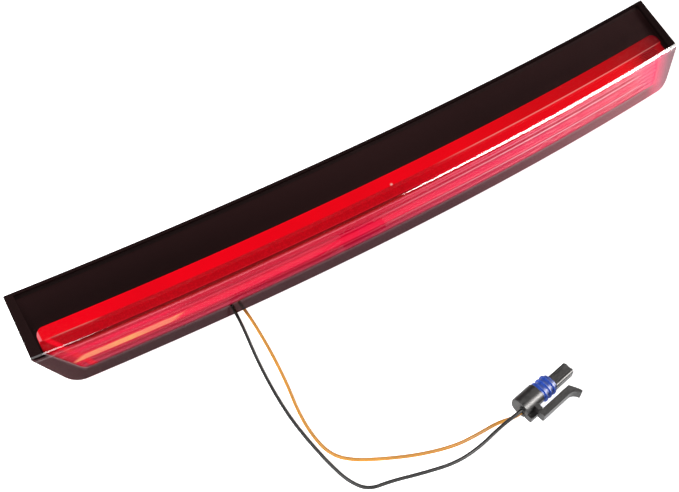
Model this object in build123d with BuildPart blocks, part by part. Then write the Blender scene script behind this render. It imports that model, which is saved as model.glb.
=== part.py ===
from build123d import *
import os
from math import asin, cos, degrees, pi, radians, sin, tan

# Centre high-mounted brake lamp: a curved bar with a smoked L-section cover over a red inner
# lens, an LED board behind it, a black housing on four bosses, and a two-wire pigtail.
# Millimetres, +Z up, X along the lamp, -Y towards whoever looks at the lens.
# The origin is the middle of the lamp's footprint, without its pigtail.

# ------------------------------------------------------------------ driving dimensions
ARC_RADIUS = 1500.0  # curve of the crease where the cover's two faces meet
ARC_TILT = 36.7  # lean of that curve's plane from level
CREASE_Y, CREASE_Z = -32.0, 52.0  # middle of the crease
UPPER_SLOPE, LOWER_SLOPE = 16.0, 66.0  # the two faces from level, at the middle
UPPER_WIDTH, LOWER_WIDTH = 52.6, 32.3
END_TOP, END_CREASE, END_BOTTOM = 299.0, 301.0, 280.5  # half lengths of the cover
COVER_WALL = 2.5
COVER_CORNER = 18.0
CREASE_ROUND = 3.0

LENS_BACK, LENS_STEP, LENS_FOOT = 21.0, 11.8, 26.2  # ledge and foot edges from the crease
LENS_TOP = 3.2  # ledge under the cover's outer face
LENS_VALLEY = (7.2, -12.0)  # where the textured step meets the fluted front
LENS_WALL = 2.0
LENS_END_TOP, LENS_END_CREASE, LENS_END_FOOT = 290.0, 291.0, 270.0
FLUTES, FLUTE_RISE = 7, 0.5

BEZEL_TOP, BEZEL_UNDER = 4.0, 5.7  # the bezel's depths under the upper face
FLANGE_TOP, FLANGE_UNDER = 5.8, 7.8  # the lens flange's depths
RIM_UNDER = 8.0  # underside of the housing's rim
REBATE_TOP, REBATE_UNDER = 7.9, 10.1  # the ledge that carries the lens flange
GAP = 0.1  # clearance between pieces that lie face to face

BASE_DEPTH = 30.0  # housing's floor under the crease
HOUSING_WALL = 2.2
HOUSING_END = 262.0
RIM_SCREWS_AT = 47.3
RIM_SCREW_X = (-245, -175, -105, -35, 35, 105, 175, 245)

BOARD_CENTRE = (27.0, -15.5)  # in the section, from the crease
BOARD_LEAN = 15.0  # the LEDs look this much above level
BOARD_WIDTH, BOARD_THICK = 18.0, 1.6
BOARD_LENGTH, BOARD_PITCH = 166.0, 174.0
LEDS_PER_BOARD, LED_PITCH = 8, 20.0
LED_SIZE = (3.5, 2.8, 1.9)
REFLECTOR_WALL = 1.0
REFLECTOR_LIFT = 0.3  # reflector's back over the board

BOSS_X = (-230, -60, 60, 230)
BOSS_ACROSS = {60: 24.0, 230: 26.0}  # boss centres behind the crease
BOSS_RADIUS = 7.0
INSERT_RADIUS, INSERT_BORE, INSERT_LENGTH = 3.5, 2.1, 9.0  # brass, tapped M5
SEAL_RADIUS, SEAL_THICK = 12.0, 3.0

WIRE_RADIUS = 1.3
GROMMET_X, GROMMET_ACROSS = -149.0, 32.5
GROMMET_HOLE, GROMMET_FLANGE, GROMMET_LIP = 4.2, 5.4, 2.0
LEAD_SPREAD = 1.8  # each lead from the grommet's middle

CONNECTOR_AT = (-21.9, -209.3)  # rear end of the connector's centre line
CONNECTOR_TURN = 10.4
CONNECTOR_HEIGHT = 7.5  # its centre line over the floor
HOOD_START, HOOD_END, HOOD_SIZE, HOOD_ROUND, HOOD_SHIFT = 2.0, 20.0, (14.8, 15.0), 5.6, 1.4
CORE_SIZE, CORE_ROUND, CORE_SHIFT = (11.0, 10.6), 4.4, 0.4
SEAL_END, SEAL_FINS = 33.4, (21.9, 26.1, 30.2)
NOSE_END, NOSE_WIDTH, NOSE_HEIGHT, NOSE_SHIFT = 52.6, 9.8, 9.4, -1.0
CAVITY_RISE = 2.4  # each cavity from the centre line, up or down
LATCH_BOTTOM, LATCH_HEIGHT = 4.0, 8.0

# The two leads' routes, grommet to connector, as the corners of their straight runs.
YELLOW_ROUTE = [
    (-147.0, -3.0, 2.2),
    (-146.4, -18.0, 1.4),
    (-145.4, -42.0, 1.4),
    (-146.6, -72.0, 1.4),
    (-149.6, -101.0, 1.4),
    (-154.2, -127.0, 1.4),
    (-154.6, -148.0, 1.4),
    (-151.2, -165.0, 1.4),
    (-140.7, -176.5, 1.4),
    (-121.2, -187.3, 1.4),
    (-98.6, -197.6, 1.4),
    (-73.6, -205.2, 1.4),
    (-54.0, -206.4, 1.4),
    (-37.5, -206.7, 2.2),
]
BLACK_ROUTE = [
    (-151.2, -3.0, 2.2),
    (-152.2, -18.0, 1.4),
    (-154.0, -42.0, 1.4),
    (-158.6, -72.0, 1.4),
    (-161.0, -101.0, 1.4),
    (-161.2, -127.0, 1.4),
    (-158.8, -150.0, 1.4),
    (-155.4, -170.6, 1.4),
    (-151.0, -188.0, 1.4),
    (-142.5, -200.5, 1.4),
    (-126.0, -203.4, 1.4),
    (-105.0, -209.8, 1.4),
    (-80.0, -216.0, 1.4),
    (-58.5, -214.9, 1.9),
    (-40.8, -211.6, 5.4),
]

os.makedirs("parts", exist_ok=True)


def save(part, name):
    """Labels a finished piece and writes it as one STEP file."""
    part.label = name
    export_step(part, f"parts/{name}.step")


# ------------------------------------------------------------------ the lamp's curved frame
TILT = radians(ARC_TILT)
AXIS_DIR = Vector(0, sin(TILT), cos(TILT))
OUTWARD = Vector(0, -cos(TILT), sin(TILT))
CREASE_MID = Vector(0, CREASE_Y, CREASE_Z)
ARC_CENTRE = CREASE_MID - OUTWARD * ARC_RADIUS
ARC_AXIS = Axis(ARC_CENTRE, AXIS_DIR)
FACE_TURN = (UPPER_SLOPE + LOWER_SLOPE) / 2
FACE_PLANE = Plane(
    origin=CREASE_MID,
    x_dir=(1, 0, 0),
    z_dir=(0, -sin(radians(FACE_TURN)), cos(radians(FACE_TURN))),
)
FAR = 120.0  # beyond every piece, for cutters


def upper(along, depth=0.0):
    """Section point at a distance from the crease along the upper face, and under it."""
    slope = radians(UPPER_SLOPE)
    return (along * cos(slope) + depth * sin(slope), along * sin(slope) - depth * cos(slope))


def lower(along, depth=0.0):
    """Section point at a distance from the crease down the lower face, and behind it."""
    slope = radians(LOWER_SLOPE)
    return (depth * sin(slope) - along * cos(slope), -along * sin(slope) - depth * cos(slope))


def section(angle):
    """Section plane at an angle along the arc: its x is back, its y is up, at the crease."""
    turn = radians(angle)
    along_x = Vector(1, 0, 0)
    radial = along_x * sin(turn) + OUTWARD * cos(turn)
    tangent = along_x * cos(turn) - OUTWARD * sin(turn)
    back = AXIS_DIR * sin(TILT) - radial * cos(TILT)
    return Plane(origin=ARC_CENTRE + radial * ARC_RADIUS, x_dir=back, z_dir=tangent)


def angle_at(x, across):
    """Angle along the arc of a section point whose place along the lamp is x."""
    reach = ARC_RADIUS - across[0] * cos(TILT) + across[1] * sin(TILT)
    return degrees(asin(x / reach))


def spot(x, across):
    """Point of the lamp at x along it, at a section point."""
    return section(angle_at(x, across)).from_local_coords((*across, 0))


def seat(x, across, towards):
    """Plane at a section point, facing a section direction, with its x along the lamp."""
    frame = section(angle_at(x, across))
    normal = frame.x_dir * towards[0] + frame.y_dir * towards[1]
    return Plane(origin=frame.from_local_coords((*across, 0)), x_dir=frame.z_dir, z_dir=normal)


def face_outline(top, bottom, top_x, crease_x, bottom_x, top_corner, bottom_corner):
    """Front view of a lens or cover square to its crease: long arcs and straight ends."""

    def flat(x, across):
        place = FACE_PLANE.to_local_coords(spot(x, across))
        return (place.X, place.Y)

    with BuildSketch(FACE_PLANE) as outline:
        with BuildLine():
            ThreePointArc(flat(-top_x, top), flat(0, top), flat(top_x, top))
            Polyline(flat(top_x, top), flat(crease_x, (0, 0)), flat(bottom_x, bottom))
            ThreePointArc(flat(bottom_x, bottom), flat(0, bottom), flat(-bottom_x, bottom))
            Polyline(flat(-bottom_x, bottom), flat(-crease_x, (0, 0)), flat(-top_x, top))
        make_face()
        fillet(outline.vertices().group_by(Axis.Y)[-1], top_corner)
        fillet(outline.vertices().group_by(Axis.Y)[0], bottom_corner)
    return outline.sketch


def grown(outline, amount):
    """The same front view with every edge moved outwards."""
    with BuildSketch(FACE_PLANE) as result:
        add(FACE_PLANE.to_local_coords(outline))
        offset(amount=amount)
    return result.sketch


def polygon(*points):
    """Closed section profile through these points."""
    with BuildSketch() as profile:
        with BuildLine():
            Polyline(*points, close=True)
        make_face()
    return profile.sketch


def band(start, end, top, under):
    """Section profile of a plate that lies parallel to the upper face."""
    return polygon(upper(start, top), upper(end, top), upper(end, under), upper(start, under))


def curved_bar(profile, start_x, end_x):
    """Section profile carried along the lamp's arc from one place to another."""
    first, last = (degrees(asin(x / ARC_RADIUS)) for x in (start_x, end_x))
    with BuildPart() as bar:
        with BuildSketch(section(first)):
            add(profile)
        revolve(axis=ARC_AXIS, revolution_arc=last - first)
    return bar.part


def cut_to(solid, outline):
    """The part of a bar that lies inside a front view."""
    with BuildPart() as piece:
        add(solid)
        extrude(outline, amount=FAR, both=True, mode=Mode.INTERSECT)
    return piece.part


def full_bar(profile, outline):
    """Bar over the lamp's whole length, cut to a front view."""
    reach = END_CREASE + 6
    return cut_to(curved_bar(profile, -reach, reach), outline)


COVER_OUTLINE = face_outline(
    upper(UPPER_WIDTH), lower(LOWER_WIDTH), END_TOP, END_CREASE, END_BOTTOM, 0.8, COVER_CORNER
)
LENS_OUTLINE = face_outline(
    upper(LENS_BACK, LENS_TOP),
    lower(LENS_FOOT, 4.0),
    LENS_END_TOP,
    LENS_END_CREASE,
    LENS_END_FOOT,
    6.0,
    10.0,
)

# ------------------------------------------------------------------ smoked outer cover
with BuildSketch() as cover_section:
    with BuildLine():
        Polyline(
            upper(UPPER_WIDTH + 4),
            (0, 0),
            lower(LOWER_WIDTH + 4),
            lower(LOWER_WIDTH + 4, COVER_WALL),
            upper(COVER_WALL * tan(radians(LOWER_SLOPE - UPPER_SLOPE) / 2), COVER_WALL),
            upper(UPPER_WIDTH + 4, COVER_WALL),
            close=True,
        )
    make_face()
    crease_corners = cover_section.vertices().sort_by_distance((0, 0, 0))
    fillet(crease_corners[0], CREASE_ROUND)
    fillet(crease_corners[1], CREASE_ROUND - COVER_WALL)

with BuildPart() as outer_cover:
    add(full_bar(cover_section.sketch, COVER_OUTLINE))
save(outer_cover.part, "outer_cover")

# ------------------------------------------------------------------ red inner lens
step = upper(LENS_STEP, LENS_TOP)
foot = lower(LENS_FOOT, 4.0)
front_run = (foot[0] - LENS_VALLEY[0], foot[1] - LENS_VALLEY[1])
foot_past = (foot[0] + front_run[0] * 0.2, foot[1] + front_run[1] * 0.2)
JOINT_LOW = (-4.0, -28.0)  # the line where the lens stands on the housing, low end
JOINT_HIGH = upper(23.5, FLANGE_UNDER)
joint_run = (JOINT_HIGH[0] - JOINT_LOW[0], JOINT_HIGH[1] - JOINT_LOW[1])


def joint_point(share, drop=0.0):
    """Point on the joint line between lens and housing, or under it by a drop."""
    length = (joint_run[0] ** 2 + joint_run[1] ** 2) ** 0.5
    return (
        JOINT_LOW[0] + joint_run[0] * share + joint_run[1] / length * drop,
        JOINT_LOW[1] + joint_run[1] * share - joint_run[0] / length * drop,
    )


def lens_profile(drop):
    """Lens section, solid down to a line parallel to the joint line."""
    return polygon(
        upper(32, LENS_TOP),
        step,
        LENS_VALLEY,
        foot_past,
        joint_point(-0.25, drop),
        joint_point(1.0, drop),
        upper(32, FLANGE_UNDER + drop),
    )


def front_point(share, proud=0.0):
    """Point on the lens's fluted front, from the valley down to the foot."""
    length = (front_run[0] ** 2 + front_run[1] ** 2) ** 0.5
    return (
        LENS_VALLEY[0] + front_run[0] * share + front_run[1] / length * proud,
        LENS_VALLEY[1] + front_run[1] * share - front_run[0] / length * proud,
    )


with BuildSketch() as lens_section:
    with BuildLine():
        Polyline(joint_point(-0.25), joint_point(1.0), upper(32, FLANGE_UNDER))
        Polyline(upper(32, FLANGE_UNDER), upper(32, LENS_TOP), step, LENS_VALLEY)
        for flute in range(FLUTES):
            ThreePointArc(
                front_point(flute / FLUTES),
                front_point((flute + 0.5) / FLUTES, FLUTE_RISE),
                front_point((flute + 1) / FLUTES),
            )
        Polyline(foot, foot_past, joint_point(-0.25))
    make_face()

with BuildSketch() as lens_hollow:
    add(lens_profile(8))
    offset(amount=-LENS_WALL, kind=Kind.INTERSECTION)

with BuildPart() as inner_lens:
    add(full_bar(lens_section.sketch, LENS_OUTLINE))
    add(full_bar(band(4, 32, FLANGE_TOP, FLANGE_UNDER), grown(LENS_OUTLINE, 4)))
    add(
        full_bar(lens_hollow.sketch, grown(LENS_OUTLINE, -LENS_WALL - 0.2)),
        mode=Mode.SUBTRACT,
    )
save(inner_lens.part, "inner_lens")

# Red plates that close the lens behind, between each end of the housing and the lens's end.
with BuildPart() as lens_end_plates:
    end_plate = polygon(
        joint_point(-0.1, -0.1), joint_point(0.97, -0.1), joint_point(0.97, -1.6), joint_point(-0.1, -1.6)
    )
    for start_x, end_x in ((-300, -HOUSING_END + 3), (HOUSING_END - 3, 300)):
        add(
            cut_to(
                curved_bar(end_plate, start_x, end_x),
                grown(LENS_OUTLINE, -LENS_WALL - 0.3),
            )
        )
save(lens_end_plates.part, "lens_end_plates")

# ------------------------------------------------------------------ black bezel
SKIN_NORMAL = (-sin(radians(UPPER_SLOPE)), cos(radians(UPPER_SLOPE)))
rim_seats = [seat(x, upper(RIM_SCREWS_AT, RIM_UNDER), SKIN_NORMAL) for x in RIM_SCREW_X]
BEZEL_BOSS, RIM_PILOT = 2.3, 1.15

with BuildPart() as bezel:
    add(full_bar(band(1.0, 53, BEZEL_TOP, BEZEL_UNDER), grown(COVER_OUTLINE, -1.4)))
    extrude(grown(LENS_OUTLINE, 0.4), amount=FAR, both=True, mode=Mode.SUBTRACT)
    with Locations(*rim_seats):
        Cylinder(BEZEL_BOSS, RIM_UNDER - BEZEL_UNDER + 0.3, align=(Align.CENTER, Align.CENTER, Align.MIN))
        Cylinder(
            RIM_PILOT,
            RIM_UNDER - BEZEL_TOP - 0.8,
            align=(Align.CENTER, Align.CENTER, Align.MIN),
            mode=Mode.SUBTRACT,
        )
save(bezel.part, "bezel")

# Sealing bead between the cover and the bezel, on three sides.
with BuildPart() as cover_seal:
    add(full_bar(band(3.5, 52, COVER_WALL + GAP, BEZEL_TOP - GAP), grown(COVER_OUTLINE, -2.4)))
    extrude(grown(COVER_OUTLINE, -5.6), amount=FAR, both=True, mode=Mode.SUBTRACT)
save(cover_seal.part, "cover_seal")

with BuildPart() as bezel_screws:
    with Locations(*[place.offset(-0.02) for place in rim_seats]):
        Cylinder(3.2, 1.6, align=(Align.CENTER, Align.CENTER, Align.MAX))
        Cylinder(
            RIM_PILOT - 0.05,
            RIM_UNDER - BEZEL_TOP - 1.0,
            align=(Align.CENTER, Align.CENTER, Align.MIN),
        )
save(bezel_screws.part, "bezel_screws")

# ------------------------------------------------------------------ housing
BOARD_FACING = (-cos(radians(BOARD_LEAN)), sin(radians(BOARD_LEAN)))


def board_seat(x, lift):
    """Plane on the board's middle line, lifted off its front face."""
    return seat(x, BOARD_CENTRE, BOARD_FACING).offset(lift)


BOARD_MIDDLES = {"left": -BOARD_PITCH, "centre": 0.0, "right": BOARD_PITCH}
SCREW_OFFSET = 3 * LED_PITCH
board_screw_x = [mid + side * SCREW_OFFSET for mid in BOARD_MIDDLES.values() for side in (-1, 1)]

WALL_NORMAL = (35.26, -3.24)  # square to the housing's back wall, in the section
tub_wall = polygon(
    upper(43.5, 7.0),
    (40.5, -BASE_DEPTH),
    (-2.9, -BASE_DEPTH),
    joint_point(0.0, GAP),
    joint_point(0.06, GAP),
    (-1.2, HOUSING_WALL - BASE_DEPTH),
    (38.3, HOUSING_WALL - BASE_DEPTH),
    upper(39.6, 7.0),
)
end_wall = polygon(
    upper(43.5, 7.0),
    (40.5, -BASE_DEPTH),
    (-2.9, -BASE_DEPTH),
    joint_point(0.0, GAP),
    joint_point(1.0, GAP),
    upper(30, REBATE_TOP),
)
rim_outline = grown(COVER_OUTLINE, -1.8)

# U-shaped frame that carries the bezel and the lens's flange on top of the housing.
with BuildPart() as carrier_frame:
    add(full_bar(band(3.5, 52.5, FLANGE_TOP, RIM_UNDER), rim_outline))
    add(full_bar(band(3.5, 31.5, REBATE_TOP, REBATE_UNDER), rim_outline))
    add(
        full_bar(band(-5, 33, FLANGE_TOP - 1, REBATE_TOP), grown(LENS_OUTLINE, 4.4)),
        mode=Mode.SUBTRACT,
    )
    add(
        full_bar(band(-5, 33, REBATE_TOP - 1, REBATE_UNDER + 1), grown(LENS_OUTLINE, 0.4)),
        mode=Mode.SUBTRACT,
    )
    with Locations(*rim_seats):
        Cylinder(BEZEL_BOSS + 0.2, 12, mode=Mode.SUBTRACT)
save(carrier_frame.part, "carrier_frame")

with BuildPart() as housing:
    add(curved_bar(tub_wall, -HOUSING_END, HOUSING_END))
    add(curved_bar(end_wall, -HOUSING_END, -HOUSING_END + HOUSING_WALL))
    add(curved_bar(end_wall, HOUSING_END - HOUSING_WALL, HOUSING_END))
    add(
        curved_bar(band(-20, 60, FLANGE_TOP - 4, RIM_UNDER + GAP), -HOUSING_END - 2, HOUSING_END + 2),
        mode=Mode.SUBTRACT,
    )
    add(
        curved_bar(band(-20, 31.5 + GAP, RIM_UNDER - 1, REBATE_UNDER + GAP), -HOUSING_END - 2, HOUSING_END + 2),
        mode=Mode.SUBTRACT,
    )
    for x in BOSS_X:
        foot_of_boss = spot(x, (BOSS_ACROSS[abs(x)], -BASE_DEPTH))
        with Locations((x, foot_of_boss.Y, 0)):
            Cylinder(
                BOSS_RADIUS,
                foot_of_boss.Z + 1.4,
                align=(Align.CENTER, Align.CENTER, Align.MIN),
            )
        with Locations((x, foot_of_boss.Y, SEAL_THICK)):
            Cylinder(SEAL_RADIUS, 2.0, align=(Align.CENTER, Align.CENTER, Align.MIN))
        with Locations((x, foot_of_boss.Y, 0)):
            Cylinder(
                INSERT_RADIUS,
                INSERT_LENGTH + 0.5,
                align=(Align.CENTER, Align.CENTER, Align.MIN),
                mode=Mode.SUBTRACT,
            )
    with Locations(*[board_seat(x, -BOARD_THICK) for x in board_screw_x]):
        Cylinder(3.0, 12.0, align=(Align.CENTER, Align.CENTER, Align.MAX))
        Cylinder(
            1.3,
            9.0,
            align=(Align.CENTER, Align.CENTER, Align.MAX),
            mode=Mode.SUBTRACT,
        )
    with Locations(seat(GROMMET_X, (GROMMET_ACROSS, -BASE_DEPTH), (0, -1))):
        Cylinder(GROMMET_HOLE, 8, mode=Mode.SUBTRACT)
    with Locations(seat(120, (41.97, -14), WALL_NORMAL)):
        Cylinder(3.0, 12, mode=Mode.SUBTRACT)
save(housing.part, "housing")

# ------------------------------------------------------------------ mounting hardware
boss_spots = [
    (x, spot(x, (BOSS_ACROSS[abs(x)], -BASE_DEPTH)).Y, 0) for x in BOSS_X
]
with BuildPart() as threaded_inserts:
    with Locations(*boss_spots):
        Cylinder(INSERT_RADIUS - 0.02, INSERT_LENGTH, align=(Align.CENTER, Align.CENTER, Align.MIN))
        Cylinder(
            INSERT_BORE,
            INSERT_LENGTH,
            align=(Align.CENTER, Align.CENTER, Align.MIN),
            mode=Mode.SUBTRACT,
        )
save(threaded_inserts.part, "threaded_inserts")

with BuildPart() as mount_seals:
    with Locations(*boss_spots):
        Cylinder(SEAL_RADIUS, SEAL_THICK - 0.02, align=(Align.CENTER, Align.CENTER, Align.MIN))
        Cylinder(
            BOSS_RADIUS + 0.1,
            SEAL_THICK,
            align=(Align.CENTER, Align.CENTER, Align.MIN),
            mode=Mode.SUBTRACT,
        )
save(mount_seals.part, "mount_seals")

# Vent plug in the back wall, and the grommet that the leads leave by.
vent_seat = seat(120, (41.97, -14), WALL_NORMAL)
with BuildPart() as vent_plug:
    with BuildSketch(vent_seat.offset(0.05)):
        Circle(6.0)
    extrude(amount=2.6)
    fillet(vent_plug.edges().filter_by(GeomType.CIRCLE).sort_by(Axis.Y)[-1], 1.2)
    with BuildSketch(vent_seat.offset(0.1)):
        Circle(2.95)
    extrude(amount=-3.4)
save(vent_plug.part, "vent_plug")

grommet_seat = seat(GROMMET_X, (GROMMET_ACROSS, -BASE_DEPTH - GAP / 2), (0, -1))
with BuildPart() as lead_grommet:
    with BuildSketch(grommet_seat):
        Circle(GROMMET_FLANGE)
    extrude(amount=GROMMET_LIP)
    fillet(lead_grommet.edges().sort_by(Axis.Z)[0], 0.8)
    with BuildSketch(grommet_seat):
        Circle(GROMMET_HOLE - 0.05)
    extrude(amount=-HOUSING_WALL - GAP)
    with BuildSketch(grommet_seat.offset(-HOUSING_WALL - GAP)):
        Circle(GROMMET_FLANGE - 0.4)
    extrude(amount=-1.4)
    with BuildSketch(grommet_seat):
        with GridLocations(2 * LEAD_SPREAD, 1, 2, 1):
            Circle(WIRE_RADIUS)
    extrude(amount=20, both=True, mode=Mode.SUBTRACT)
save(lead_grommet.part, "lead_grommet")

# ------------------------------------------------------------------ reflector and LED boards
BOARD_UP = (sin(radians(BOARD_LEAN)), cos(radians(BOARD_LEAN)))


def on_board(across, lift):
    """Section point across the board from its middle, lifted off its front face."""
    return (
        BOARD_CENTRE[0] + BOARD_UP[0] * across + BOARD_FACING[0] * lift,
        BOARD_CENTRE[1] + BOARD_UP[1] * across + BOARD_FACING[1] * lift,
    )


floor_lift = REFLECTOR_LIFT + REFLECTOR_WALL / 2
reflector_line = (
    (22.3, -4.9),
    on_board(BOARD_WIDTH / 2, floor_lift),
    on_board(-BOARD_WIDTH / 2, floor_lift),
    (0.2, -27.0),
)
with BuildSketch() as reflector_section:
    with BuildLine() as reflector_path:
        Polyline(*reflector_line)
    trace(reflector_path.line, REFLECTOR_WALL)
REFLECTOR_END = HOUSING_END - HOUSING_WALL - 1.5
led_x = [
    mid + (place - (LEDS_PER_BOARD - 1) / 2) * LED_PITCH
    for mid in BOARD_MIDDLES.values()
    for place in range(LEDS_PER_BOARD)
]
with BuildPart() as reflector:
    add(curved_bar(reflector_section.sketch, -REFLECTOR_END, REFLECTOR_END))
    reflector_end = polygon(*reflector_line)
    add(curved_bar(reflector_end, -REFLECTOR_END, -REFLECTOR_END + REFLECTOR_WALL))
    add(curved_bar(reflector_end, REFLECTOR_END - REFLECTOR_WALL, REFLECTOR_END))
    with Locations(*[board_seat(x, floor_lift) for x in led_x]):
        Box(5.2, 4.6, 2.0, mode=Mode.SUBTRACT)
    with Locations(*[board_seat(x, floor_lift) for x in board_screw_x]):
        Cylinder(1.5, 2.0, mode=Mode.SUBTRACT)
save(reflector.part, "reflector")


def led_board(middle):
    """One strip of circuit board, bent to the lamp's arc, with its two screw holes."""
    strip = polygon(
        on_board(BOARD_WIDTH / 2, 0),
        on_board(-BOARD_WIDTH / 2, 0),
        on_board(-BOARD_WIDTH / 2, GAP - BOARD_THICK),
        on_board(BOARD_WIDTH / 2, GAP - BOARD_THICK),
    )
    with BuildPart() as board:
        add(curved_bar(strip, middle - BOARD_LENGTH / 2, middle + BOARD_LENGTH / 2))
        with Locations(*[board_seat(middle + side * SCREW_OFFSET, 0) for side in (-1, 1)]):
            Cylinder(1.5, 6, mode=Mode.SUBTRACT)
    return board.part


def led_row(middle):
    """The LEDs of one board: a square case with a low dome."""
    places = [middle + (n - (LEDS_PER_BOARD - 1) / 2) * LED_PITCH for n in range(LEDS_PER_BOARD)]
    with BuildPart() as row:
        with Locations(*[board_seat(x, 0.05) for x in places]):
            Box(*LED_SIZE, align=(Align.CENTER, Align.CENTER, Align.MIN))
        with Locations(*[board_seat(x, LED_SIZE[2]) for x in places]):
            Cylinder(1.1, 0.5, align=(Align.CENTER, Align.CENTER, Align.MIN))
    return row.part


for side, middle in BOARD_MIDDLES.items():
    save(led_board(middle), f"led_board_{side}")
    save(led_row(middle), f"leds_{side}")

with BuildPart() as board_screws:
    with Locations(*[board_seat(x, REFLECTOR_LIFT + REFLECTOR_WALL + GAP) for x in board_screw_x]):
        Cylinder(2.5, 1.7, align=(Align.CENTER, Align.CENTER, Align.MIN))
        Cylinder(1.25, 9.0, align=(Align.CENTER, Align.CENTER, Align.MAX))
save(board_screws.part, "board_screws")

# Chips on the back of the boards: series resistors, and the diode against reversed leads.
resistor_x = [mid + shift for mid in BOARD_MIDDLES.values() for shift in (-40, 0, 40)]
with BuildPart() as resistors:
    with Locations(*[board_seat(x, -BOARD_THICK) for x in resistor_x]):
        Box(6.3, 3.2, 0.6, align=(Align.CENTER, Align.CENTER, Align.MAX))
save(resistors.part, "resistors")

with BuildPart() as reverse_diode:
    with Locations(board_seat(-BOARD_PITCH - 20, -BOARD_THICK)):
        Box(4.6, 2.6, 2.2, align=(Align.CENTER, Align.CENTER, Align.MAX))
save(reverse_diode.part, "reverse_diode")

# Wire links that carry the two rails from board to board.
with BuildPart() as board_jumpers:
    for gap_x in (-BOARD_PITCH / 2, BOARD_PITCH / 2):
        for across in (-5.0, 5.0):
            ends = [seat(gap_x + side * 7, on_board(across, -BOARD_THICK - 0.1), BOARD_FACING) for side in (-1, 1)]
            tops = [end.offset(-2.4) for end in ends]
            with BuildLine() as link:
                FilletPolyline(ends[0].origin, tops[0].origin, tops[1].origin, ends[1].origin, radius=1.2)
            with BuildSketch(Plane(origin=ends[0].origin, z_dir=link.line % 0)):
                Circle(0.4)
            sweep(path=link.line)
save(board_jumpers.part, "board_jumpers")


# ------------------------------------------------------------------ leads
def lead_tube(points):
    """Round lead on straight runs joined by the largest tangent arcs that they allow."""
    points = [Vector(*p) for p in points]
    radii = []
    for before, corner, after in zip(points, points[1:], points[2:]):
        turn = (corner - before).get_angle(after - corner)
        run = min((corner - before).length, (after - corner).length)
        radii.append(0.45 * run / tan(radians(turn) / 2))
    with BuildPart() as tube:
        with BuildLine() as path:
            FilletPolyline(*points, radius=radii)
        with BuildSketch(Plane(origin=points[0], z_dir=points[1] - points[0])):
            Circle(WIRE_RADIUS)
        sweep(path=path.line)
    length = path.wire().length
    filled = tube.part.volume / (pi * WIRE_RADIUS**2 * length)
    print(f"lead {length:.1f} mm, volume over section x length {filled:.4f}")
    print("  radii", [round(r, 1) for r in radii])
    return tube.part


exit_plane = grommet_seat.offset(GROMMET_LIP + 0.02)
inlet_plane = grommet_seat.offset(-HOUSING_WALL - 2 * GAP - 1.5)
connector_turn = radians(CONNECTOR_TURN)
connector_plane = Plane(
    origin=(*CONNECTOR_AT, 0),
    x_dir=(cos(connector_turn), sin(connector_turn), 0),
    z_dir=(0, 0, 1),
)
CAVITIES = {"yellow": CONNECTOR_HEIGHT - CAVITY_RISE, "black": CONNECTOR_HEIGHT + CAVITY_RISE}
pads = {"yellow": 1, "black": -1}
for colour, route in (("yellow", YELLOW_ROUTE), ("black", BLACK_ROUTE)):
    spread = pads[colour] * LEAD_SPREAD
    rise = CAVITIES[colour]
    start = exit_plane.from_local_coords((spread, 0, 0))
    entry = connector_plane.from_local_coords((HOOD_START - 0.62, NOSE_SHIFT, rise))
    before_entry = connector_plane.from_local_coords((HOOD_START - 5.6, NOSE_SHIFT, rise))
    drop = exit_plane.offset(7.0).from_local_coords((spread, 0, 0))
    save(lead_tube([start, drop, *route, before_entry, entry]), f"wire_{colour}")
    # Inside the housing the lead turns up from the grommet to its pad on the board's back.
    pad = seat(GROMMET_X + pads[colour] * 3.0, on_board(-3.0, -BOARD_THICK - 0.6), BOARD_FACING)
    with BuildPart() as inner_lead:
        with BuildLine() as lead_path:
            FilletPolyline(
                exit_plane.offset(-0.04).from_local_coords((spread, 0, 0)),
                inlet_plane.offset(-2.6).from_local_coords((spread, 0, 0)),
                pad.offset(-4.2).origin,
                pad.origin,
                radius=1.5,
            )
        with BuildSketch(Plane(origin=lead_path.line @ 0, z_dir=lead_path.line % 0)):
            Circle(WIRE_RADIUS - 0.02)
        sweep(path=lead_path.line)
    save(inner_lead.part, f"lead_{colour}_inner")

with BuildPart() as solder_joints:
    for sign in pads.values():
        joint = seat(GROMMET_X + sign * 3.0, on_board(-3.0, -BOARD_THICK - 0.05), BOARD_FACING)
        with Locations(joint):
            Cylinder(1.4, 0.5, align=(Align.CENTER, Align.CENTER, Align.MAX))
save(solder_joints.part, "solder_joints")

# ------------------------------------------------------------------ connector
# Its own plane: x from the rear to the mating nose, y away from the latch, z up.
LOCK_BOX = ((3.0, -9.9, 0.0), (11.4, -4.0, 6.2))  # corners of the rear lock block


def rounded_bar(start, end, width, height, corner, shift=0.0):
    """Bar along the connector with a rounded section."""
    face = Plane(
        origin=connector_plane.from_local_coords((start, shift, CONNECTOR_HEIGHT)),
        x_dir=connector_plane.y_dir,
        z_dir=connector_plane.x_dir,
    )
    with BuildPart() as bar:
        with BuildSketch(face):
            RectangleRounded(width, height, corner)
        extrude(amount=end - start)
    return bar.part


def connector_box(low, high):
    """Box between two corners in the connector's plane."""
    middle = [(a + b) / 2 for a, b in zip(low, high)]
    with BuildPart() as block:
        with Locations(connector_plane.location * Location(middle)):
            Box(*[b - a for a, b in zip(low, high)])
    return block.part


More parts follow.
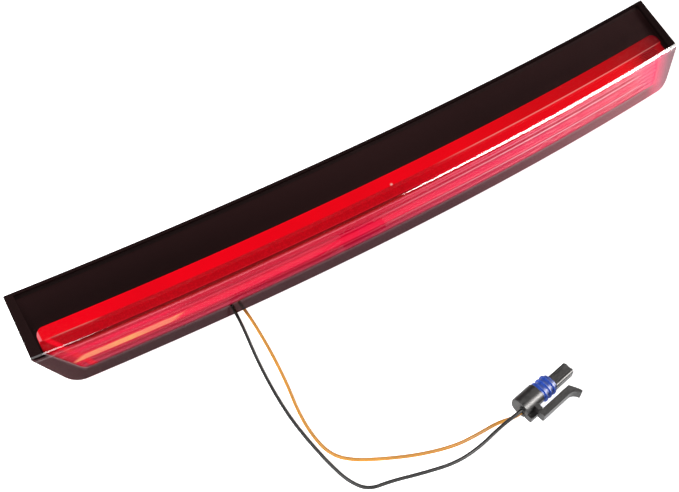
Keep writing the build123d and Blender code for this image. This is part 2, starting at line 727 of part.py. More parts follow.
connector_x = Axis(connector_plane.origin, connector_plane.x_dir)
core_end = SEAL_END + 0.3
with BuildPart() as connector_body:
    add(rounded_bar(HOOD_START, HOOD_END, *HOOD_SIZE, HOOD_ROUND, HOOD_SHIFT))
    chamfer(connector_body.faces().sort_by(connector_x)[-1].edges(), 0.6)
    chamfer(connector_body.faces().sort_by(connector_x)[0].edges(), 0.4)
    add(rounded_bar(HOOD_END - 1, core_end, *CORE_SIZE, CORE_ROUND, CORE_SHIFT))
    add(rounded_bar(core_end - 0.1, NOSE_END, NOSE_WIDTH, NOSE_HEIGHT, 1.6, NOSE_SHIFT))
    tip_edges = connector_body.faces().sort_by(connector_x)[-1].edges()
    chamfer(tip_edges.sort_by(Axis(connector_plane.origin, connector_plane.y_dir))[0], 1.6)
    # Ears that carry the latch's foot.
    add(connector_box((9.4, -10.1, LATCH_BOTTOM), (13.0, -3.0, LATCH_BOTTOM + LATCH_HEIGHT)))
    # Two keyways along the top of the nose.
    nose_top = CONNECTOR_HEIGHT + NOSE_HEIGHT / 2
    for keyway in (NOSE_SHIFT - 2.6, NOSE_SHIFT + 2.9):
        add(
            connector_box(
                (core_end + 0.6, keyway - 0.5, nose_top - 0.7),
                (NOSE_END + 1, keyway + 0.5, nose_top + 1),
            ),
            mode=Mode.SUBTRACT,
        )
    low, high = LOCK_BOX
    add(
        connector_box(
            (low[0] - 3, low[1] - 1, low[2] - 1),
            (high[0] + GAP, high[1] + GAP, high[2] + GAP),
        ),
        mode=Mode.SUBTRACT,
    )
    for rise in CAVITIES.values():
        add(
            connector_box(
                (NOSE_END - 14, NOSE_SHIFT - 1.5, rise - 1.5),
                (NOSE_END + 1, NOSE_SHIFT + 1.5, rise + 1.5),
            ),
            mode=Mode.SUBTRACT,
        )
        well = rounded_bar(HOOD_START - 1, HOOD_START + 7, 4.6, 4.6, 2.29, NOSE_SHIFT)
        add(well.moved(Location((0, 0, rise - CONNECTOR_HEIGHT))), mode=Mode.SUBTRACT)
save(connector_body.part, "connector_body")

with BuildPart() as connector_seal:
    add(rounded_bar(HOOD_END + GAP, SEAL_END, 13.2, 12.8, 5.5, CORE_SHIFT))
    for fin in SEAL_FINS:
        add(rounded_bar(fin, fin + 1.0, 15.6, 15.0, 6.6, CORE_SHIFT))
    add(
        rounded_bar(HOOD_END, SEAL_END + 1, CORE_SIZE[0] + 0.1, CORE_SIZE[1] + 0.1, 4.45, CORE_SHIFT),
        mode=Mode.SUBTRACT,
    )
save(connector_seal.part, "connector_seal")

with BuildPart() as terminal_lock:
    add(connector_box(*LOCK_BOX))
    chamfer(terminal_lock.edges().filter_by(connector_x), 0.5)
save(terminal_lock.part, "terminal_lock")

# The latch: a foot on the hood's side, an arm along the seal and nose, and a hooked thumb end.
LATCH_ROOT = (8.6, -10.5)
with BuildPart() as connector_latch:
    with BuildSketch(connector_plane.offset(LATCH_BOTTOM)):
        with BuildLine():
            Polyline((40.0, -10.5), (43.4, -17.3), (44.2, -20.4), (41.8, -21.1))
            ThreePointArc((41.8, -21.1), (39.8, -17.7), (35.4, -15.8))
            Polyline((35.4, -15.8), (8.6, -15.8), LATCH_ROOT, (40.0, -10.5))
        make_face()
    extrude(amount=LATCH_HEIGHT)
    fillet(connector_latch.edges().filter_by(Axis.Z).sort_by(connector_x)[-1], 0.6)
save(connector_latch.part, "connector_latch")

with BuildPart() as terminals:
    for rise in CAVITIES.values():
        add(
            connector_box(
                (NOSE_END - 13.5, NOSE_SHIFT - 1.4, rise - 1.4),
                (NOSE_END - 1.0, NOSE_SHIFT + 1.4, rise + 1.4),
            )
        )
        add(
            connector_box(
                (NOSE_END - 6.0, NOSE_SHIFT - 0.8, rise - 0.4),
                (NOSE_END - 0.5, NOSE_SHIFT + 0.8, rise + 0.4),
            ),
            mode=Mode.SUBTRACT,
        )
save(terminals.part, "terminals")

with BuildPart() as wire_seals:
    for rise in CAVITIES.values():
        plug = rounded_bar(HOOD_START - 0.6, HOOD_START + 6.8, 4.5, 4.5, 2.24, NOSE_SHIFT)
        add(plug.moved(Location((0, 0, rise - CONNECTOR_HEIGHT))))
save(wire_seals.part, "wire_seals")
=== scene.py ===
import math

import bpy
from mathutils import Matrix, Vector


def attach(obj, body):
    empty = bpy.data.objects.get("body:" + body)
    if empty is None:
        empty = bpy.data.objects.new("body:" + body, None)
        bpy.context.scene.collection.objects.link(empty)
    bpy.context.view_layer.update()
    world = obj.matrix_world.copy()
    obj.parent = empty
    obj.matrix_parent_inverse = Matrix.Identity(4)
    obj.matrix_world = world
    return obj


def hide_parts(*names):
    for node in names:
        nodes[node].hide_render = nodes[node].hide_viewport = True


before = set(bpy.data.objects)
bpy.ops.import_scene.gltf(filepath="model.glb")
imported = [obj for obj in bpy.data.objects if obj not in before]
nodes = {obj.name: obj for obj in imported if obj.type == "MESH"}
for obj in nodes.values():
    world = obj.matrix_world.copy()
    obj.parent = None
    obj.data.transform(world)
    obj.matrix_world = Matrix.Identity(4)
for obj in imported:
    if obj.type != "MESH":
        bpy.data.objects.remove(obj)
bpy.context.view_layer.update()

scene = bpy.context.scene

# ------------------------------------------------------------------ camera
CREASE = Vector((0, -0.032, 0.052))  # middle of the cover's crease
VIEW_AZIMUTH, VIEW_ELEVATION = math.radians(-31.5), math.radians(54.9)
cam_data = bpy.data.cameras.new("camera")
cam_data.lens, cam_data.sensor_width = 54.08, 36.0
camera = bpy.data.objects.new("camera", cam_data)
scene.collection.objects.link(camera)
back = Vector((
    math.sin(VIEW_AZIMUTH) * math.cos(VIEW_ELEVATION),
    -math.cos(VIEW_AZIMUTH) * math.cos(VIEW_ELEVATION),
    math.sin(VIEW_ELEVATION),
))
camera.location = CREASE + Vector((-0.29731, -0.38345, 0.61441))
camera.rotation_mode = "QUATERNION"
camera.rotation_quaternion = (-back).to_track_quat("-Z", "Y")
scene.camera = camera


# ------------------------------------------------------------------ node helpers
def rgb(r, g, b):
    """sRGB 0-255 to a linear colour."""
    def lin(v):
        v /= 255
        return v / 12.92 if v <= 0.04045 else ((v + 0.055) / 1.055) ** 2.4
    return (lin(r), lin(g), lin(b), 1.0)


class Nodes:
    """One material's node tree, with short ways to add and join nodes."""

    def __init__(self, name):
        self.mat = bpy.data.materials.new(name)
        self.mat.use_nodes = True
        self.tree = self.mat.node_tree
        self.tree.nodes.clear()
        self.out = self.add("ShaderNodeOutputMaterial")
        self.coords = self.add("ShaderNodeTexCoord").outputs["Object"]

    def add(self, kind, inputs=(), **props):
        node = self.tree.nodes.new(kind)
        for key, value in props.items():
            setattr(node, key, value)
        for key, value in dict(inputs).items():
            self.put(node.inputs[key], value)
        return node

    def put(self, socket, value):
        if isinstance(value, bpy.types.NodeSocket):
            self.tree.links.new(value, socket)
        else:
            socket.default_value = value

    def math(self, operation, a, b=0.0):
        node = self.add("ShaderNodeMath", operation=operation)
        self.put(node.inputs[0], a)
        self.put(node.inputs[1], b)
        return node.outputs[0]

    def mix(self, factor, a, b):
        node = self.add("ShaderNodeMix", data_type="RGBA")
        self.put(node.inputs[0], factor)
        self.put(node.inputs[6], a)
        self.put(node.inputs[7], b)
        return node.outputs[2]

    def noise(self, scale, detail, rough):
        node = self.add("ShaderNodeTexNoise", {
            "Vector": self.coords, "Scale": scale, "Detail": detail, "Roughness": rough,
        })
        return node.outputs["Fac"]

    def ramp(self, value, low, high, out_low=0.0, out_high=1.0):
        node = self.add("ShaderNodeMapRange", {
            "Value": value, "From Min": low, "From Max": high, "To Min": out_low, "To Max": out_high,
        }, clamp=True)
        return node.outputs[0]

    def stops(self, value, stops, reach):
        """Colour by place: stops are (place, sRGB colour), over 0 to reach."""
        node = self.add("ShaderNodeValToRGB", {"Fac": self.math("DIVIDE", value, reach)})
        marks = node.color_ramp.elements
        while len(marks) < len(stops):
            marks.new(1.0)
        for mark, (place, colour) in zip(marks, stops):
            mark.position = place / reach
            mark.color = rgb(*colour)
        return node.outputs[0]

    def band(self, value, start, end, soft):
        """1 between two values, 0 outside them, with soft edges."""
        rise = self.ramp(value, start - soft, start + soft)
        fall = self.ramp(value, end + soft, end - soft)
        return self.math("MULTIPLY", rise, fall)

    def bump(self, height, strength, distance):
        node = self.add("ShaderNodeBump", {"Height": height, "Strength": strength, "Distance": distance})
        return node.outputs[0]

    def vector(self, operation, a, b):
        return self.add("ShaderNodeVectorMath", {0: a, 1: b}, operation=operation)

    def blend(self, factor, a, b):
        """One shader turning into another."""
        node = self.add("ShaderNodeMixShader", {0: factor, 1: a, 2: b})
        return node.outputs[0]

    def along_lamp(self, x, stops):
        """Colour by place along the lamp: stops are (metres from the left end, sRGB colour)."""
        return self.stops(self.math("ADD", x, HALF_LENGTH), stops, 2 * HALF_LENGTH)

    def principled(self, **inputs):
        node = self.add("ShaderNodeBsdfPrincipled")
        for key, value in inputs.items():
            self.put(node.inputs[key.replace("_", " ")], value)
        return node

    def finish(self, shader):
        self.tree.links.new(shader, self.out.inputs["Surface"])
        return self.mat


def paint(material, *names):
    for name in names:
        obj = nodes[name] if isinstance(name, str) else name
        obj.data.materials.clear()
        obj.data.materials.append(material)


# ------------------------------------------------------------------ leads
# The same routes as in the solid model, in metres.
YELLOW_ROUTE = [
    (-0.1472, 0.0064, 0.0148), (-0.1471, 0.0064, 0.0079), (-0.1470, -0.0030, 0.0022),
    (-0.1464, -0.0180, 0.0014),
    (-0.1454, -0.0420, 0.0014), (-0.1466, -0.0720, 0.0014), (-0.1496, -0.1010, 0.0014),
    (-0.1542, -0.1270, 0.0014), (-0.1546, -0.1480, 0.0014), (-0.1512, -0.1650, 0.0014),
    (-0.1407, -0.1765, 0.0014), (-0.1212, -0.1873, 0.0014), (-0.0986, -0.1976, 0.0014),
    (-0.0736, -0.2052, 0.0014), (-0.0540, -0.2064, 0.0014), (-0.0375, -0.2067, 0.0022),
    (-0.0253, -0.2109, 0.0051), (-0.0204, -0.2101, 0.0051),
]
BLACK_ROUTE = [
    (-0.1508, 0.0066, 0.0148), (-0.1507, 0.0066, 0.0079), (-0.1512, -0.0030, 0.0022),
    (-0.1522, -0.0180, 0.0014),
    (-0.1540, -0.0420, 0.0014), (-0.1586, -0.0720, 0.0014), (-0.1610, -0.1010, 0.0014),
    (-0.1612, -0.1270, 0.0014), (-0.1588, -0.1500, 0.0014), (-0.1554, -0.1706, 0.0014),
    (-0.1510, -0.1880, 0.0014), (-0.1425, -0.2005, 0.0014), (-0.1260, -0.2034, 0.0014),
    (-0.1050, -0.2098, 0.0014), (-0.0800, -0.2160, 0.0014), (-0.0585, -0.2149, 0.0019),
    (-0.0408, -0.2116, 0.0054), (-0.0253, -0.2109, 0.0099), (-0.0204, -0.2101, 0.0099),
]
WIRE_RADIUS = 0.0013


def lead(name, route, node):
    curve = bpy.data.curves.new(name, "CURVE")
    curve.dimensions = "3D"
    curve.bevel_depth = 1.0  # times each point's radius, so the curve's box is as thin as the wire
    curve.bevel_resolution = 6
    curve.resolution_u = 16
    curve.use_fill_caps = True
    spline = curve.splines.new("NURBS")
    spline.points.add(len(route) - 1)
    for point, place in zip(spline.points, route):
        point.co = (*place, 1.0)
        point.radius = WIRE_RADIUS
    spline.order_u = 3
    spline.use_endpoint_u = True
    obj = bpy.data.objects.new(name, curve)
    scene.collection.objects.link(obj)
    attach(obj, "lamp")
    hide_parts(node)
    return obj


yellow_lead = lead("yellow_lead", YELLOW_ROUTE, "wire_yellow")
black_lead = lead("black_lead", BLACK_ROUTE, "wire_black")

# ------------------------------------------------------------------ place on the curved lamp
ARC_RADIUS, TILT = 1.5, math.radians(36.7)  # the crease's arc, and how far its axis leans back
UPPER_SLOPE, LOWER_SLOPE = math.radians(16), math.radians(66)  # the cover's two faces, from level
MEAN_SLOPE, HALF_TURN = (UPPER_SLOPE + LOWER_SLOPE) / 2, (LOWER_SLOPE - UPPER_SLOPE) / 2
HALF_LENGTH = 0.3


def lamp_frame(m):
    """Sockets for a point's place along the lamp, back from the crease and up from it."""
    split = m.add("ShaderNodeSeparateXYZ", {"Vector": m.coords})
    x, y, z = split.outputs
    y, z = m.math("SUBTRACT", y, CREASE.y), m.math("SUBTRACT", z, CREASE.z)
    # out: along the arc's radius at the middle; rise: along its axis
    out = m.math("SUBTRACT", m.math("MULTIPLY", z, math.sin(TILT)), m.math("MULTIPLY", y, math.cos(TILT)))
    rise = m.math("ADD", m.math("MULTIPLY", z, math.cos(TILT)), m.math("MULTIPLY", y, math.sin(TILT)))
    away = m.math("ADD", out, ARC_RADIUS)
    radius = m.math("SQRT", m.math("ADD", m.math("MULTIPLY", away, away), m.math("MULTIPLY", x, x)))
    out = m.math("SUBTRACT", radius, ARC_RADIUS)
    across = m.math(
        "SUBTRACT", m.math("MULTIPLY", rise, math.sin(TILT)), m.math("MULTIPLY", out, math.cos(TILT)),
    )
    up = m.math(
        "ADD", m.math("MULTIPLY", out, math.sin(TILT)), m.math("MULTIPLY", rise, math.cos(TILT)),
    )
    return x, across, up


def faces(m, across, up):
    """Distance from the crease along the upper face, and down the lower face, in metres."""
    along = m.math(
        "ADD",
        m.math("MULTIPLY", across, math.cos(UPPER_SLOPE)),
        m.math("MULTIPLY", up, math.sin(UPPER_SLOPE)),
    )
    down = m.math(
        "SUBTRACT",
        m.math("MULTIPLY", up, -math.sin(LOWER_SLOPE)),
        m.math("MULTIPLY", across, math.cos(LOWER_SLOPE)),
    )
    return along, down


# ------------------------------------------------------------------ cover
SHEEN_RADIUS = 0.0056  # how round the crease looks; the solid's own radius is 3 mm
LENS_SHARE = (0.36, 0.27, 0.27)  # light left after both skins of the cover over the lens


def crease_normal(m, x, along, down):
    """An even normal across the rounded crease, from the upper face's slope to the lower's."""
    turn = m.math("SUBTRACT", down, along)
    turn = m.math("DIVIDE", turn, 2 * math.cos(HALF_TURN) * SHEEN_RADIUS)
    turn = m.math("MAXIMUM", turn, -math.sin(HALF_TURN))
    turn = m.math("ARCSINE", m.math("MINIMUM", turn, math.sin(HALF_TURN)))
    turn = m.math("ADD", turn, MEAN_SLOPE + TILT)
    cosine, sine = m.math("COSINE", turn), m.math("SINE", turn)
    swing = m.math("DIVIDE", x, ARC_RADIUS)
    ahead = m.math("SQRT", m.math("SUBTRACT", 1.0, m.math("MULTIPLY", swing, swing)))
    ahead = m.math("MULTIPLY", sine, ahead)
    forward = m.math(
        "SUBTRACT",
        m.math("MULTIPLY", cosine, math.sin(TILT)),
        m.math("MULTIPLY", ahead, math.cos(TILT)),
    )
    upward = m.math(
        "ADD",
        m.math("MULTIPLY", cosine, math.cos(TILT)),
        m.math("MULTIPLY", ahead, math.sin(TILT)),
    )
    return m.add("ShaderNodeCombineXYZ", {
        "X": m.math("MULTIPLY", sine, swing), "Y": forward, "Z": upward,
    }).outputs[0]


def cover_film(m, x, down):
    """What the cover lets through: most over the lens, less round it, with painted light making it
    lighter towards the right and rosy at the right end.
    """
    cloud = m.noise(30.0, 2.0, 0.5)
    window = m.mix(cloud, (0.59, 0.51, 0.51, 1), (0.61, 0.53, 0.53, 1))
    # painted light: the smoke lightens from the left end towards the right
    smoke_and_painted_light = m.mix(m.ramp(x, -0.29, 0.03), (0.19, 0.120, 0.125, 1), (0.25, 0.145, 0.160, 1))
    smoke_and_painted_light = m.mix(m.ramp(x, 0.03, 0.22), smoke_and_painted_light, (0.50, 0.315, 0.335, 1))
    # painted light: the right end fades along a slant, from rose to a dull pink
    slant = m.math("ADD", x, m.math("MULTIPLY", down, 0.5))
    rose_painted_light = m.mix(m.ramp(slant, 0.276, 0.287), (0.915, 0.33, 0.44, 1), (0.735, 0.37, 0.44, 1))
    rose_painted_light = m.mix(m.ramp(slant, 0.287, 0.297), rose_painted_light, (0.52, 0.38, 0.41, 1))
    # both ends of the window slant with the lens's own ends
    left_end = m.math("SUBTRACT", m.math("MULTIPLY", down, 0.80), m.math("ADD", x, 0.291))
    right_end = m.math("ADD", m.math("MULTIPLY", down, 0.36), m.math("SUBTRACT", x, 0.2745))
    lower_face = m.ramp(down, -0.0003, 0.0003)
    right_end = m.math("MULTIPLY", m.ramp(right_end, -0.002, 0.001), lower_face)
    film = m.mix(m.ramp(left_end, -0.003, 0.001), window, smoke_and_painted_light)
    film = m.mix(right_end, film, rose_painted_light)
    rim = m.mix(m.ramp(x, 0.258, 0.276), smoke_and_painted_light, rose_painted_light)
    return m.mix(m.ramp(down, 0.0230, 0.0256), film, rim)


def smoked_cover():
    """Smoked acrylic: a tinted film with painted light in its tint, under a gloss, with a black print at
    the upper face's borders that has a faint painted glow.
    """
    m = Nodes("smoked_cover")
    x, across, up = lamp_frame(m)
    along, down = faces(m, across, up)
    film = cover_film(m, x, down)
    skin = m.add("ShaderNodeBsdfTransparent", {"Color": film})

    # the crease on the outer skin only
    reach = m.math("MAXIMUM", m.math("ABSOLUTE", along), m.math("ABSOLUTE", down))
    outer = m.ramp(m.math("ADD", along, down), 0.0018, 0.0014)
    corner = m.math("MULTIPLY", m.ramp(reach, 0.0036, 0.0030), outer)
    ripple = m.noise(14.0, 2.0, 0.5)
    normal = m.add(
        "ShaderNodeMix",
        {0: corner, 4: m.bump(ripple, 0.006, 0.004), 5: crease_normal(m, x, along, down)},
        data_type="VECTOR",
    ).outputs[1]
    fine = m.noise(900.0, 2.0, 0.6)
    rough = m.ramp(fine, 0.35, 0.75, 0.03, 0.055)
    gloss = m.add("ShaderNodeBsdfGlossy", {"Color": (1, 1, 1, 1), "Roughness": rough, "Normal": normal})
    facing = m.add("ShaderNodeLayerWeight", {"Blend": 0.5, "Normal": normal}).outputs["Facing"]
    share = m.math("ADD", m.math("MULTIPLY", m.math("POWER", facing, 5.0), 0.95), 0.010)
    share = m.math("ADD", share, m.math("MULTIPLY", corner, 0.03))
    clear = m.blend(share, skin.outputs[0], gloss.outputs[0])

    # black print inside the upper face's three free edges, with a faint painted glow that lifts its black
    ends = m.math("ABSOLUTE", x)
    border = m.math("MAXIMUM", m.ramp(along, 0.0502, 0.0508), m.ramp(ends, 0.2920, 0.2926))
    border = m.math("MULTIPLY", border, m.ramp(down, 0.0, -0.0004))
    print_with_painted_glow = m.principled(
        Base_Color=m.mix(m.ramp(fine, 0.3, 0.7), (0.008, 0.004, 0.004, 1), (0.011, 0.005, 0.005, 1)),
        # this emission is a painted glow, not a lamp
        Emission_Color=(0.0055, 0.0026, 0.0026, 1), Emission_Strength=1.0,
        Roughness=rough, Specular_IOR_Level=0.15, Normal=normal,
    )
    return m.finish(m.blend(border, clear, print_with_painted_glow.outputs[0]))


# ------------------------------------------------------------------ bezel and lens
def bezel_black():
    """Satin black-brown, with a painted glow that is lighter in the middle of the lamp and towards the
    upper face's far edge.
    """
    m = Nodes("bezel_black")
    x, across, up = lamp_frame(m)
    along = faces(m, across, up)[0]
    fine = m.noise(1400.0, 2.0, 0.6)
    # painted light: the glow's shade along the lamp and towards the far edge stands in for light on the
    # upper face
    shade = m.along_lamp(x, (
        (0.0, (29, 17, 17)), (0.12, (31, 18, 18)), (0.20, (37, 21, 21)), (0.30, (41, 24, 24)),
        (0.40, (33, 19, 19)), (0.52, (29, 15, 15)), (0.60, (24, 10, 10)),
    ))
    shade = m.mix(m.ramp(along, 0.030, 0.052, 0.0, 0.3), shade, rgb(66, 40, 41))
    painted_glow = m.vector("DIVIDE", shade, LENS_SHARE).outputs[0]
    bsdf = m.principled(
        Base_Color=m.mix(m.ramp(fine, 0.3, 0.7), (0.010, 0.006, 0.006, 1), (0.014, 0.008, 0.008, 1)),
        Roughness=m.ramp(fine, 0.3, 0.7, 0.4, 0.5),
        Specular_IOR_Level=0.12,
        Emission_Color=painted_glow,
        Emission_Strength=0.7,
        Normal=m.bump(fine, 0.3, 0.00005),
    )
    return m.finish(bsdf.outputs[0])


# Down the fluted front from the valley, in millimetres, as it glows through the cover; its pale and dark
# lines are painted highlights and painted shade on the flutes.
FRONT_REACH = 24.4
FRONT_LEFT = (
    (0.0, (140, 4, 12)), (0.9, (170, 20, 34)), (2.4, (222, 54, 76)), (3.4, (210, 44, 66)),
    (5.0, (208, 44, 66)), (7.0, (192, 42, 60)), (7.8, (182, 34, 54)), (9.0, (236, 72, 94)),
    (9.8, (212, 44, 64)), (10.6, (204, 36, 58)), (11.6, (248, 52, 76)), (15.6, (252, 54, 82)),
    (16.4, (228, 50, 74)), (17.4, (182, 38, 56)), (18.2, (208, 70, 86)), (19.2, (146, 34, 48)),
    (20.4, (164, 48, 66)), (22.4, (186, 68, 88)), (23.6, (164, 62, 78)), (24.4, (120, 52, 62)),
)
FRONT_RIGHT = (
    (0.0, (205, 50, 70)), (1.0, (194, 20, 50)), (2.4, (250, 54, 98)), (3.8, (230, 60, 96)),
    (4.3, (240, 84, 114)), (4.9, (255, 160, 182)), (5.5, (214, 70, 92)), (6.2, (196, 58, 76)),
    (7.4, (205, 62, 84)), (7.9, (236, 112, 134)), (8.4, (255, 222, 230)), (8.9, (236, 112, 134)),
    (9.5, (210, 64, 88)), (10.6, (236, 74, 104)), (11.6, (250, 78, 112)), (15.4, (246, 74, 106)),
    (16.6, (226, 68, 92)), (17.2, (242, 112, 134)), (17.7, (255, 208, 220)), (18.2, (236, 104, 126)),
    (18.9, (206, 66, 88)), (20.0, (226, 76, 102)), (22.6, (234, 82, 110)), (24.4, (210, 88, 108)),
)


def lens_ledge(m, x, across, cloud):
    """Even bright red, with painted shade darkening it towards the right end."""
    red = m.along_lamp(x, (
        (0.0, (250, 2, 25)), (0.30, (246, 5, 24)), (0.36, (242, 5, 22)), (0.43, (221, 6, 18)),
        (0.50, (202, 5, 17)), (0.55, (172, 7, 14)), (0.575, (140, 6, 14)), (0.592, (80, 6, 14)),
    ))
    red = m.mix(m.ramp(cloud, 0.35, 0.75), red, m.mix(0.12, red, rgb(120, 4, 10)))
    # a painted highlight as a pale edge round the left end, and one bright speck
    painted_edge_highlight = m.math("MULTIPLY", m.band(x, -0.2905, -0.2885, 0.0003), m.ramp(across, 0.001, 0.003))
    red = m.mix(m.math("MULTIPLY", painted_edge_highlight, 0.45), red, rgb(255, 170, 180))
    speck = m.vector("DISTANCE", m.coords, (-0.0076, -0.0190, 0.0519)).outputs["Value"]
    return m.mix(m.ramp(speck, 0.0016, 0.0003), red, rgb(255, 190, 180))


def lens_step(m, x, up, dimples, facet):
    """Dimpled and ribbed red, with painted light making it brighter on the right and a painted shadow at
    its foot on the left.
    """
    red = m.along_lamp(x, (
        (0.0, (200, 8, 24)), (0.30, (212, 8, 25)), (0.36, (231, 6, 24)), (0.42, (246, 3, 23)),
        (0.54, (246, 5, 20)), (0.567, (170, 7, 14)), (0.585, (165, 14, 22)), (0.596, (110, 10, 16)),
    ))
    grain = m.math("MULTIPLY", m.ramp(dimples, 0.15, 0.65), m.ramp(x, 0.06, 0.0, 0.15, 0.5))
    red = m.mix(grain, red, rgb(150, 4, 12))
    rib = m.math("SINE", m.math("MULTIPLY", x, 2 * math.pi / 0.0016))
    red = m.mix(m.math("MULTIPLY", m.ramp(rib, 0.2, 1.0), 0.10), red, rgb(230, 40, 50))
    # painted shadow in the valley at the step's foot
    painted_foot_shadow = m.math("MULTIPLY", m.ramp(up, -0.0086, -0.0096), m.ramp(x, 0.06, -0.02))
    red = m.mix(painted_foot_shadow, red, rgb(120, 2, 6))
    # the left end: a painted highlight as a bright slanted band, with painted shade in the corner outside
    # it
    red = m.mix(m.ramp(facet, 0.0, -0.0010), red, rgb(178, 8, 20))
    red = m.mix(m.band(facet, -0.0022, 0.0022, 0.0008), red, rgb(252, 4, 34))
    # the right end: slanted dark hatching
    slant = m.math("ADD", x, m.math("MULTIPLY", up, 2.2))
    hatch = m.math("SINE", m.math("MULTIPLY", slant, 2 * math.pi / 0.0030))
    hatch = m.math("MULTIPLY", m.ramp(hatch, -0.3, 0.5), m.band(x, 0.262, 0.283, 0.002))
    return m.mix(m.math("MULTIPLY", hatch, 0.8), red, rgb(60, 4, 8))


def lens_lip(m, x, across):
    """How far the lip between ledge and step catches the light: strongly right, weakly left."""
    right = m.along_lamp(x, (
        (0.0, (0, 0, 0)), (0.33, (0, 0, 0)), (0.38, (190, 190, 190)), (0.50, (200, 200, 200)),
        (0.58, (150, 150, 150)), (0.59, (0, 0, 0)),
    ))
    left = m.math("MULTIPLY", m.band(x, -0.283, -0.250, 0.006), 0.30)
    return m.math("MULTIPLY", m.band(across, 0.0119, 0.0124, 0.0002), m.math("ADD", left, right))


def lens_front(m, x, across, up, cloud, facet):
    """Painted highlights and shade as long pale and dark lines, a painted orange highlight streak on the
    left and a plain right end.
    """
    # from the valley towards the foot, along the front's mean slope
    place = m.math("ADD", m.math("MULTIPLY", across, -0.7232), m.math("MULTIPLY", up, -0.6906))
    place = m.math("MULTIPLY", m.math("SUBTRACT", place, 0.003080), FRONT_REACH / 0.01964)
    left = m.stops(place, FRONT_LEFT, FRONT_REACH)
    right = m.stops(place, FRONT_RIGHT, FRONT_REACH)
    red = m.mix(m.ramp(x, -0.04, 0.13), left, right)
    red = m.mix(m.ramp(x, 0.246, 0.262), red, rgb(242, 102, 132))
    red = m.mix(m.ramp(cloud, 0.3, 0.75), red, m.mix(0.15, red, rgb(255, 60, 96)))
    patch = m.noise(70.0, 2.0, 0.5)
    left_end = m.mix(m.ramp(patch, 0.4, 0.6), rgb(196, 40, 58), rgb(226, 46, 70))
    red = m.mix(m.ramp(x, -0.2685, -0.2715), red, left_end)
    # a painted highlight along the left end's slanted facet
    red = m.mix(m.band(facet, -0.0010, 0.0040, 0.0010), red, rgb(236, 34, 58))
    slant = m.math("ADD", x, m.math("MULTIPLY", place, 0.0022))
    bright = m.math("MULTIPLY", m.band(place, 5.2, 8.0, 0.5), m.band(slant, -0.262, -0.180, 0.010))
    red = m.mix(bright, red, rgb(244, 44, 78))
    # painted highlight: an orange streak on the left
    painted_streak = m.math("MULTIPLY", m.band(place, 12.2, 16.3, 0.25), m.band(slant, -0.2405, -0.164, 0.003))
    orange_highlight = m.mix(m.ramp(patch, 0.35, 0.65), rgb(255, 140, 116), rgb(255, 176, 112))
    red = m.mix(painted_streak, red, orange_highlight)
    # the cover's own sheen over the front comes back on top, so it is taken off here
    sheen = m.mix(m.ramp(x, -0.05, 0.15), (0.022, 0.022, 0.022, 1), (0.036, 0.036, 0.036, 1))
    red = m.vector("SUBTRACT", red, sheen).outputs[0]
    return m.vector("MAXIMUM", red, (0, 0, 0)).outputs[0]


def red_lens():
    """Lit moulded red: bright ledge, dimpled step and a front of long pale and dark lines, with painted
    highlights and shade in all three.
    """
    m = Nodes("red_lens")
    x, across, up = lamp_frame(m)
    along = faces(m, across, up)[0]
    cloud = m.noise(26.0, 3.0, 0.55)
    dimples = m.add("ShaderNodeTexVoronoi", {"Vector": m.coords, "Scale": 620.0}).outputs["Distance"]
    facet = m.math("ADD", x, m.math("ADD", m.math("MULTIPLY", along, 0.83), 0.2755))
    ledge = m.ramp(across, 0.0120, 0.0126)
    front = m.ramp(up, -0.0117, -0.0121)
    seen = m.mix(ledge, lens_step(m, x, up, dimples, facet), lens_ledge(m, x, across, cloud))
    seen = m.mix(lens_lip(m, x, across), seen, rgb(255, 170, 160))
    seen = m.mix(front, seen, lens_front(m, x, across, up, cloud, facet))
    bsdf = m.principled(
        Base_Color=m.mix(front, rgb(90, 2, 8), rgb(110, 6, 14)),
        Roughness=m.math("ADD", 0.16, m.math("MULTIPLY", cloud, 0.12)),
        Emission_Color=m.vector("DIVIDE", seen, LENS_SHARE).outputs[0],
        Emission_Strength=0.93,
        Normal=m.bump(dimples, 0.3, 0.0001),
    )
    return m.finish(bsdf.outputs[0])


# ------------------------------------------------------------------ other materials
def plain(name, colour, rough=0.4, metallic=0.0, scale=400.0, spread=0.15, bump=0.2, depth=0.00005):
    """A material with a fine grain and a slow change of shade."""
    m = Nodes(name)
    grain = m.noise(scale, 3.0, 0.6)
    slow = m.noise(scale / 25, 2.0, 0.5)
    dark = tuple(c * (1 - spread) for c in colour[:3]) + (1,)
    light = tuple(min(1, c * (1 + spread)) for c in colour[:3]) + (1,)
    bsdf = m.principled(
        Base_Color=m.mix(m.ramp(slow, 0.3, 0.7), dark, light),
        Roughness=m.ramp(grain, 0.3, 0.7, rough, min(1, rough + 0.15)),
        Metallic=metallic,
        Normal=m.bump(grain, bump, depth),
    )
    return m.finish(bsdf.outputs[0])


paint(smoked_cover(), "outer_cover")
paint(bezel_black(), "bezel")
paint(red_lens(), "inner_lens")
paint(plain("end_plate_red", rgb(170, 8, 22), 0.35), "lens_end_plates")
paint(plain("butyl", (0.01, 0.01, 0.01, 1), 0.7), "cover_seal")
paint(plain("abs_black", (0.012, 0.012, 0.013, 1), 0.45, bump=0.35), "housing", "carrier_frame")
paint(plain("vent_black", (0.015, 0.015, 0.015, 1), 0.4), "vent_plug")
paint(plain("brass", (0.60, 0.40, 0.12, 1), 0.3, metallic=1.0), "threaded_inserts")
paint(plain("foam", (0.03, 0.03, 0.033, 1), 0.9, scale=1500, bump=0.8, depth=0.0003), "mount_seals")
paint(plain("zinc", (0.55, 0.55, 0.56, 1), 0.35, metallic=1.0), "bezel_screws", "board_screws")
paint(plain("rubber_black", (0.012, 0.012, 0.012, 1), 0.7), "lead_grommet", "wire_seals")
paint(plain("white_reflector", (0.80, 0.80, 0.78, 1), 0.25), "reflector")
solder_mask = plain("solder_mask", (0.02, 0.16, 0.05, 1), 0.35)
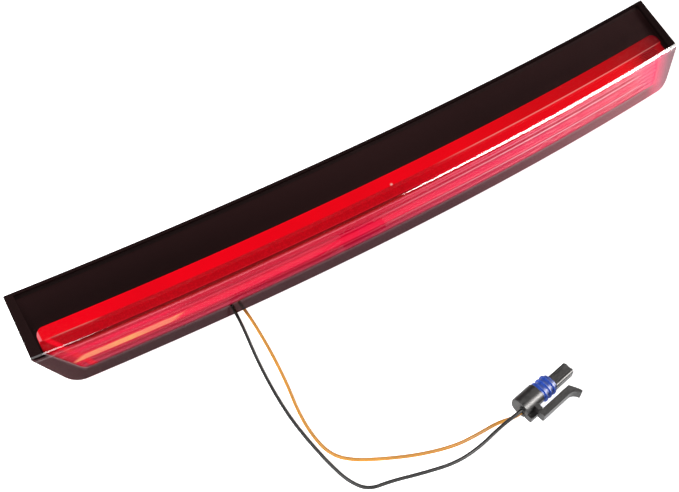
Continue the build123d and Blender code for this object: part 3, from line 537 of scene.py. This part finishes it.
paint(solder_mask, "led_board_left", "led_board_centre", "led_board_right")
paint(plain("led_epoxy", (0.65, 0.10, 0.07, 1), 0.25), "leds_left", "leds_centre", "leds_right")
paint(plain("chip", (0.02, 0.02, 0.02, 1), 0.5), "resistors", "reverse_diode")
tinned = plain("tinned", (0.62, 0.62, 0.60, 1), 0.3, metallic=1.0)
paint(tinned, "board_jumpers", "solder_joints", "terminals")
yellow_pvc = plain("yellow_pvc", rgb(206, 138, 30), 0.42, scale=900)
black_pvc = plain("black_pvc", (0.006, 0.006, 0.006, 1), 0.35, scale=900)
paint(yellow_pvc, "lead_yellow_inner", "wire_yellow", yellow_lead)
paint(black_pvc, "lead_black_inner", "wire_black", black_lead)
nylon = plain("connector_nylon", (0.007, 0.006, 0.006, 1), 0.36, scale=700, bump=0.3)
paint(nylon, "connector_body", "connector_latch", "terminal_lock")
paint(plain("blue_silicone", rgb(44, 84, 186), 0.4, scale=900), "connector_seal")

# ------------------------------------------------------------------ floor and light
floor_mesh = bpy.data.meshes.new("floor")
floor_mesh.from_pydata([(-6, -6, 0), (6, -6, 0), (6, 6, 0), (-6, 6, 0)], [], [(0, 1, 2, 3)])
floor = bpy.data.objects.new("floor", floor_mesh)
floor.location.z = -0.0002
scene.collection.objects.link(floor)
m = Nodes("floor")
speck = m.noise(60.0, 2.0, 0.5)
shade = m.mix(speck, (0.90, 0.90, 0.90, 1), (0.93, 0.93, 0.93, 1))
floor_bsdf = m.principled(
    Base_Color=shade, Roughness=0.7, Specular_IOR_Level=0.1,
    Emission_Color=(1, 1, 1, 1), Emission_Strength=1.0,
)
paint(m.finish(floor_bsdf.outputs[0]), floor)

# Pale round the horizon and dark overhead, as between the softboxes of a studio.
world = bpy.data.worlds.new("world")
scene.world = world
world.use_nodes = True
tree = world.node_tree
tree.nodes.clear()
out = tree.nodes.new("ShaderNodeOutputWorld")
sky = tree.nodes.new("ShaderNodeBackground")
place = tree.nodes.new("ShaderNodeTexCoord")
split = tree.nodes.new("ShaderNodeSeparateXYZ")
fade = tree.nodes.new("ShaderNodeMapRange")
fade.interpolation_type = "SMOOTHSTEP"
for key, value in {"From Min": 0.10, "From Max": 0.42, "To Min": 1.0, "To Max": 0.06}.items():
    fade.inputs[key].default_value = value
tree.links.new(place.outputs["Generated"], split.inputs[0])
tree.links.new(split.outputs["Z"], fade.inputs["Value"])
tree.links.new(fade.outputs[0], sky.inputs["Strength"])
tree.links.new(sky.outputs[0], out.inputs["Surface"])
scene.view_settings.view_transform = "Standard"


def softbox(name, place, size, radiance, colour=(1, 1, 1), shape="RECTANGLE", long_axis=(0, 0, 1)):
    """Studio light of a given brightness, facing the lamp's middle, its long side along one direction."""
    data = bpy.data.lights.new(name, "AREA")
    data.shape = shape
    data.size, data.size_y = size
    area = size[0] * size[1] * (math.pi / 4 if shape == "ELLIPSE" else 1.0)
    data.energy = radiance * math.pi * area
    data.color = colour
    obj = bpy.data.objects.new(name, data)
    obj.location = place
    # local Z points away from the lamp, local Y along the wanted direction
    z = (Vector(place) - CREASE).normalized()
    y = (Vector(long_axis) - z * z.dot(Vector(long_axis))).normalized()
    turn = Matrix((y.cross(z), y, z)).transposed()
    obj.rotation_mode = "QUATERNION"
    obj.rotation_quaternion = turn.to_quaternion()
    scene.collection.objects.link(obj)
    return obj


softbox("key", (-1.05, -0.32, 1.2), (0.9, 0.9), 11)
# seen only as the highlight along the crease's right half
strip = softbox(
    "strip", (2.55, -1.1, 1.45), (2.0, 4.2), 40, (1.0, 0.965, 0.94), "ELLIPSE", (1.35, 0.9, -0.66),
)
strip.visible_diffuse = False
